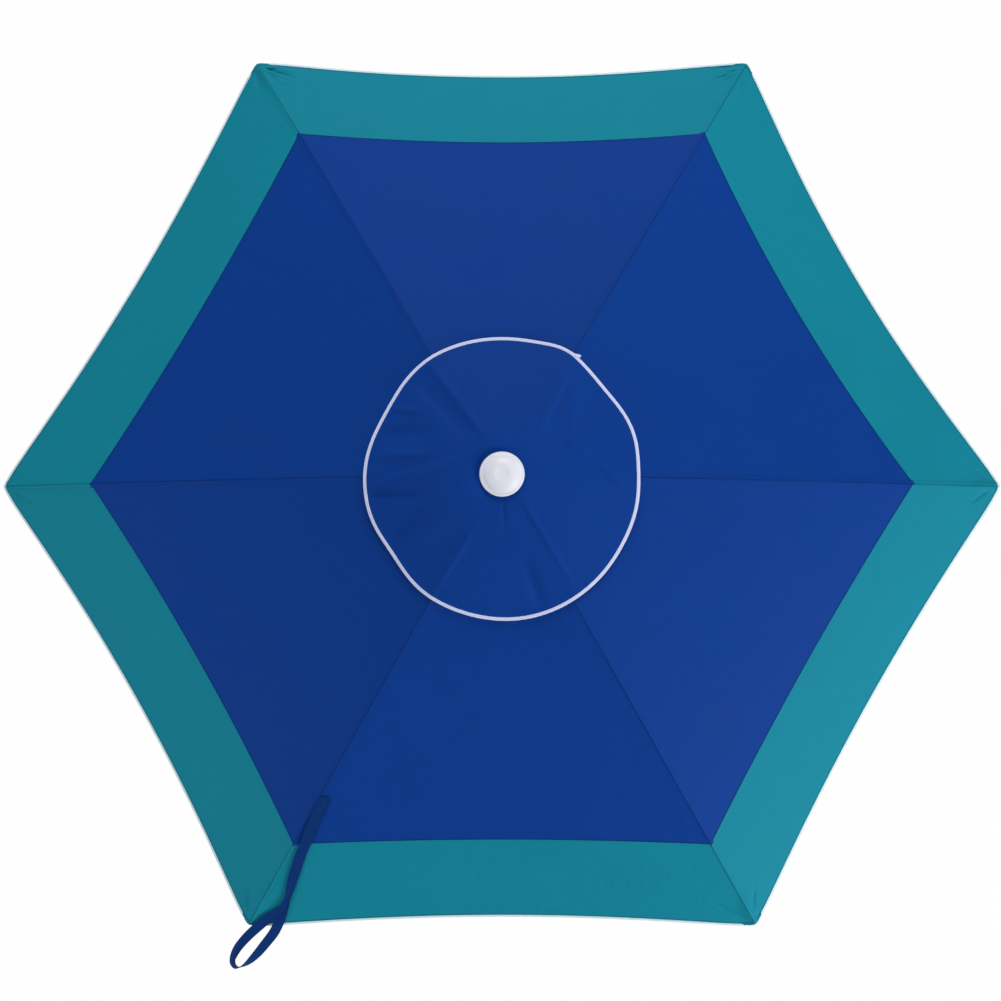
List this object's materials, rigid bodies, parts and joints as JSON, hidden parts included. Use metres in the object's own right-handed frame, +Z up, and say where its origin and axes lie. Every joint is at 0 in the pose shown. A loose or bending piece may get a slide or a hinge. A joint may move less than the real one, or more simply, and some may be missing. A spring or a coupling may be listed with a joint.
{
  "type": "beach umbrella",
  "caption": "Folding beach umbrella with a vented hexagonal canopy in blue and teal, sliding runner frame, push-button tilt joint, telescopic pole with clamp knob and ground spike.",
  "frame": {"origin": "middle of the blunt end of the ground spike", "axes": "+Z up the pole; +X along rib 1, with the ribs every 60 degrees"},
  "size_m": [1.741, 1.5894, 1.9079],
  "materials": {
    "blue_cloth": "plain-woven polyester, royal blue",
    "teal_cloth": "plain-woven polyester, teal, the sewn-on outer band of the canopy",
    "strap_tape": "woven polyester tape, dark blue",
    "white_binding": "white bias binding on the hem and the vent cap",
    "white_plastic": "injection-moulded, satin white",
    "white_steel": "white powder-coated steel",
    "zinc_steel": "bright zinc plate"
  },
  "bodies": {
    "lower_pole": {"ground_spike": "white_plastic", "lower_pole_tube": "white_steel", "clamp_collar": "white_plastic"},
    "clamp_knob": {"clamp_knob": "white_plastic"},
    "middle_pole": {"middle_pole_tube": "white_steel", "middle_pole_guide": "white_plastic", "tilt_fork": "white_plastic", "tilt_pin": "zinc_steel", "tilt_button_spring": "zinc_steel"},
    "tilt_button": {"tilt_button": "white_plastic"},
    "upper_pole": {"tilt_tongue": "white_plastic", "upper_pole_tube": "white_steel", "catch_pin": "zinc_steel", "crown_hub": "white_plastic", "crown_wire": "zinc_steel", "crown_pin": "zinc_steel", "pole_top_plug": "white_plastic", "finial": "white_plastic", "vent_cap": "blue_cloth"},
    "runner_catch": {"runner_catch": "zinc_steel"},
    "rib_1": {"rib_1": "white_steel", "rib_bracket_1": "white_plastic", "stretcher_rivet_1": "zinc_steel", "rib_tip_1": "white_plastic", "canopy_gore_1": "blue_cloth"},
    "rib_2": {"rib_2": "white_steel", "rib_bracket_2": "white_plastic", "stretcher_rivet_2": "zinc_steel", "rib_tip_2": "white_plastic", "canopy_gore_2": "blue_cloth"},
    "rib_3": {"rib_3": "white_steel", "rib_bracket_3": "white_plastic", "stretcher_rivet_3": "zinc_steel", "rib_tip_3": "white_plastic", "canopy_gore_3": "blue_cloth"},
    "rib_4": {"rib_4": "white_steel", "rib_bracket_4": "white_plastic", "stretcher_rivet_4": "zinc_steel", "rib_tip_4": "white_plastic", "canopy_gore_4": "blue_cloth"},
    "rib_5": {"rib_5": "white_steel", "rib_bracket_5": "white_plastic", "stretcher_rivet_5": "zinc_steel", "rib_tip_5": "white_plastic", "canopy_gore_5": "blue_cloth", "tie_strap": "strap_tape"},
    "rib_6": {"rib_6": "white_steel", "rib_bracket_6": "white_plastic", "stretcher_rivet_6": "zinc_steel", "rib_tip_6": "white_plastic", "canopy_gore_6": "blue_cloth"},
    "stretcher_1": {"stretcher_1": "white_steel"},
    "stretcher_2": {"stretcher_2": "white_steel"},
    "stretcher_3": {"stretcher_3": "white_steel"},
    "stretcher_4": {"stretcher_4": "white_steel"},
    "stretcher_5": {"stretcher_5": "white_steel"},
    "stretcher_6": {"stretcher_6": "white_steel"},
    "runner": {"runner": "white_plastic", "runner_wire": "zinc_steel"}
  },
  "joints": [
    {"name": "pole_height", "type": "slide", "parent": "lower_pole", "child": "middle_pole", "axis": [0, 0, 1], "range_m": [-0.09, 0.2]},
    {"name": "clamp_knob_turn", "type": "hinge", "parent": "lower_pole", "child": "clamp_knob", "pos_m": [0, 0, 0.78], "axis": [1, 0, 0], "range_deg": [0, 720]},
    {"name": "canopy_tilt", "type": "hinge", "parent": "middle_pole", "child": "upper_pole", "pos_m": [0, 0, 0.955], "axis": [-1, 0, 0], "range_deg": [0, 40]},
    {"name": "tilt_button_press", "type": "slide", "parent": "middle_pole", "child": "tilt_button", "axis": [-1, 0, 0], "range_m": [0, 0.0025], "stiffness_N_per_m": 800, "springref_m": -0.001, "deforming": ["tilt_button_spring"]},
    {"name": "runner_catch_press", "type": "hinge", "parent": "upper_pole", "child": "runner_catch", "pos_m": [0, -0.0076, 1.54578], "axis": [-1, 0, 0], "range_deg": [0, 6], "stiffness_Nm_per_rad": 0.6, "springref_deg": -2.86},
    {"name": "rib_1_fold", "type": "hinge", "parent": "upper_pole", "child": "rib_1", "pos_m": [0.026, 0, 1.87994], "axis": [0, 1, 0], "range_deg": [0, 68], "deforming": ["canopy_gore_1", "canopy_gore_2", "canopy_gore_3", "canopy_gore_4", "canopy_gore_5", "canopy_gore_6", "vent_cap", "runner_catch"]},
    {"name": "rib_2_fold", "type": "hinge", "parent": "upper_pole", "child": "rib_2", "pos_m": [0.013, 0.02252, 1.87994], "axis": [-0.866, 0.5, 0], "range_deg": [0, 68]},
    {"name": "rib_3_fold", "type": "hinge", "parent": "upper_pole", "child": "rib_3", "pos_m": [-0.013, 0.02252, 1.87994], "axis": [-0.866, -0.5, 0], "range_deg": [0, 68]},
    {"name": "rib_4_fold", "type": "hinge", "parent": "upper_pole", "child": "rib_4", "pos_m": [-0.026, 0, 1.87994], "axis": [0, -1, 0], "range_deg": [0, 68]},
    {"name": "rib_5_fold", "type": "hinge", "parent": "upper_pole", "child": "rib_5", "pos_m": [-0.013, -0.02252, 1.87994], "axis": [0.866, -0.5, 0], "range_deg": [0, 68]},
    {"name": "rib_6_fold", "type": "hinge", "parent": "upper_pole", "child": "rib_6", "pos_m": [0.013, -0.02252, 1.87994], "axis": [0.866, 0.5, 0], "range_deg": [0, 68]},
    {"name": "stretcher_1_fold", "type": "hinge", "parent": "rib_1", "child": "stretcher_1", "pos_m": [0.40655, 0, 1.76801], "axis": [0, 1, 0], "range_deg": [-136, 0]},
    {"name": "stretcher_2_fold", "type": "hinge", "parent": "rib_2", "child": "stretcher_2", "pos_m": [0.20327, 0.35208, 1.76801], "axis": [-0.866, 0.5, 0], "range_deg": [-136, 0]},
    {"name": "stretcher_3_fold", "type": "hinge", "parent": "rib_3", "child": "stretcher_3", "pos_m": [-0.20327, 0.35208, 1.76801], "axis": [-0.866, -0.5, 0], "range_deg": [-136, 0]},
    {"name": "stretcher_4_fold", "type": "hinge", "parent": "rib_4", "child": "stretcher_4", "pos_m": [-0.40655, 0, 1.76801], "axis": [0, -1, 0], "range_deg": [-136, 0]},
    {"name": "stretcher_5_fold", "type": "hinge", "parent": "rib_5", "child": "stretcher_5", "pos_m": [-0.20327, -0.35208, 1.76801], "axis": [0.866, -0.5, 0], "range_deg": [-136, 0]},
    {"name": "stretcher_6_fold", "type": "hinge", "parent": "rib_6", "child": "stretcher_6", "pos_m": [0.20327, -0.35208, 1.76801], "axis": [0.866, 0.5, 0], "range_deg": [-136, 0]},
    {"name": "runner_fold", "type": "hinge", "parent": "stretcher_1", "child": "runner", "pos_m": [0.026, 0, 1.65608], "axis": [0, 1, 0], "range_deg": [0, 68]}
  ],
  "couplings": [
    {"joint": "rib_2_fold", "follows": "rib_1_fold", "ratio": 1},
    {"joint": "rib_3_fold", "follows": "rib_1_fold", "ratio": 1},
    {"joint": "rib_4_fold", "follows": "rib_1_fold", "ratio": 1},
    {"joint": "rib_5_fold", "follows": "rib_1_fold", "ratio": 1},
    {"joint": "rib_6_fold", "follows": "rib_1_fold", "ratio": 1},
    {"joint": "stretcher_1_fold", "follows": "rib_1_fold", "ratio": -2},
    {"joint": "stretcher_2_fold", "follows": "rib_1_fold", "ratio": -2},
    {"joint": "stretcher_3_fold", "follows": "rib_1_fold", "ratio": -2},
    {"joint": "stretcher_4_fold", "follows": "rib_1_fold", "ratio": -2},
    {"joint": "stretcher_5_fold", "follows": "rib_1_fold", "ratio": -2},
    {"joint": "stretcher_6_fold", "follows": "rib_1_fold", "ratio": -2},
    {"joint": "runner_fold", "follows": "rib_1_fold", "ratio": 1}
  ]
}
